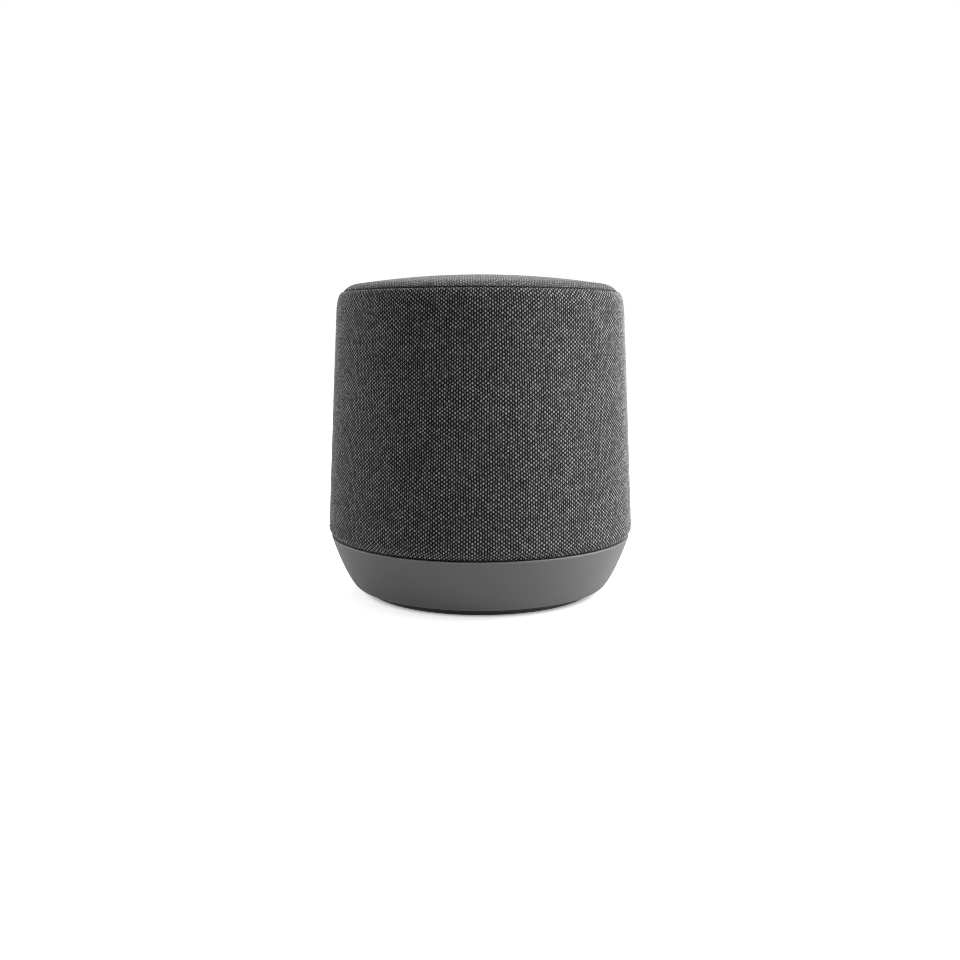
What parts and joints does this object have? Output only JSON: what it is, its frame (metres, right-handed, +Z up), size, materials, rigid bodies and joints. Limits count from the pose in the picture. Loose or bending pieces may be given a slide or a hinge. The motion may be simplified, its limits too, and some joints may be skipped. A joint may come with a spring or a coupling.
{
  "type": "smart speaker",
  "caption": "Round table-top smart speaker: woven fabric wall and domed fabric cap over a smooth flared base, with driver, passive radiators and electronics inside.",
  "frame": {"origin": "centre of the underside, on the surface that the speaker stands on", "axes": "+Z up along the axis of the round body; the front faces -Y, and the bay with the power inlet and the controls faces +Y"},
  "size_m": [0.15, 0.15, 0.1546],
  "materials": {
    "sleeve_fabric": "plain woven polyester, matte",
    "cap_fabric": "plain woven polyester, matte",
    "base_plastic": "satin moulded",
    "bottom_plastic": "fine spark texture",
    "bay_plastic": "fine spark texture",
    "control_plastic": "satin moulded",
    "socket_plastic": "moulded nylon",
    "contact_metal": "nickel plated",
    "foot_rubber": "matte silicone",
    "black_plastic": "moulded",
    "circuit_board": "solder mask",
    "tin_plate": "tin plated",
    "chip_resin": "moulded epoxy",
    "anodised_aluminium": "black-grey anodised",
    "capacitor_can": "drawn can with a sleeve",
    "connector_nylon": "natural nylon",
    "seal_foam": "closed-cell foam",
    "light_guide": "frosted acrylic",
    "led_lens": "clear resin",
    "basket_metal": "powder coated",
    "ferrite": "ground ferrite",
    "plated_steel": "zinc plated",
    "cone_pulp": "coated pulp",
    "roll_rubber": "butyl rubber",
    "spider_cloth": "impregnated cloth",
    "coil_former": "bare foil",
    "coil_wire": "enamelled copper",
    "lead_insulation": "soft insulation",
    "ribbon_film": "polyester film",
    "screw_steel": "zinc plated"
  },
  "bodies": {
    "housing": {"amplifier_chip": "chip_resin", "base_plate": "bottom_plastic", "base_plate_screws": "screw_steel", "base_shell": "base_plastic", "board_connectors": "connector_nylon", "cap_disc": "black_plastic", "cap_fabric": "cap_fabric", "cap_screws": "screw_steel", "capacitors": "capacitor_can", "control_board": "circuit_board", "control_switches": "chip_resin", "enclosure_baffle": "black_plastic", "enclosure_cup": "black_plastic", "enclosure_gasket": "seal_foam", "enclosure_screws": "screw_steel", "fabric_sleeve": "sleeve_fabric", "foot_ring": "foot_rubber", "grille_frame": "black_plastic", "heat_sink": "anodised_aluminium", "light_guide": "light_guide", "main_board": "circuit_board", "mic_seals": "seal_foam", "microphones": "tin_plate", "post_screws": "screw_steel", "power_jack": "socket_plastic", "power_jack_pin": "contact_metal", "processor": "chip_resin", "radiator_left_frame": "black_plastic", "radiator_left_surround": "roll_rubber", "radiator_right_frame": "black_plastic", "radiator_right_surround": "roll_rubber", "rear_panel": "bay_plastic", "reflector": "black_plastic", "reflector_screws": "screw_steel", "ribbon_cable": "ribbon_film", "shield_can": "tin_plate", "status_leds": "led_lens", "top_board": "circuit_board", "top_board_screws": "screw_steel", "wifi_antennas": "circuit_board", "woofer_basket": "basket_metal", "woofer_gasket": "seal_foam", "woofer_leads": "lead_insulation", "woofer_magnet": "ferrite", "woofer_screws": "screw_steel", "woofer_spider": "spider_cloth", "woofer_surround": "roll_rubber", "woofer_terminals": "connector_nylon", "woofer_top_plate": "plated_steel", "woofer_yoke": "plated_steel"},
    "woofer_moving": {"woofer_cone": "cone_pulp", "woofer_dust_cap": "cone_pulp", "voice_coil_former": "coil_former", "voice_coil": "coil_wire"},
    "radiator_left": {"radiator_left_diaphragm": "cone_pulp", "radiator_left_weight": "plated_steel"},
    "radiator_right": {"radiator_right_diaphragm": "cone_pulp", "radiator_right_weight": "plated_steel"},
    "mute_knob": {"mute_slider": "control_plastic"},
    "setup_key": {"setup_button": "control_plastic"}
  },
  "joints": [
    {"name": "woofer_travel", "type": "slide", "parent": "housing", "child": "woofer_moving", "axis": [0, 0, -1], "range_m": [-0.003, 0.003], "stiffness_N_per_m": 1500, "deforming": ["woofer_surround", "woofer_spider"]},
    {"name": "radiator_left_travel", "type": "slide", "parent": "housing", "child": "radiator_left", "axis": [-1, 0, 0], "range_m": [-0.0037, 0.0037], "stiffness_N_per_m": 700, "deforming": ["radiator_left_surround"]},
    {"name": "radiator_right_travel", "type": "slide", "parent": "housing", "child": "radiator_right", "axis": [1, 0, 0], "range_m": [-0.0037, 0.0037], "stiffness_N_per_m": 700, "deforming": ["radiator_right_surround"]},
    {"name": "mute_slide", "type": "slide", "parent": "housing", "child": "mute_knob", "axis": [1, 0, 0], "range_m": [0, 0.003]},
    {"name": "setup_press", "type": "slide", "parent": "housing", "child": "setup_key", "axis": [0, -1, 0], "range_m": [0, 0.0006], "stiffness_N_per_m": 900}
  ],
  "couplings": [
    {"joint": "radiator_left_travel", "follows": "woofer_travel", "ratio": -1.2},
    {"joint": "radiator_right_travel", "follows": "woofer_travel", "ratio": -1.2}
  ]
}
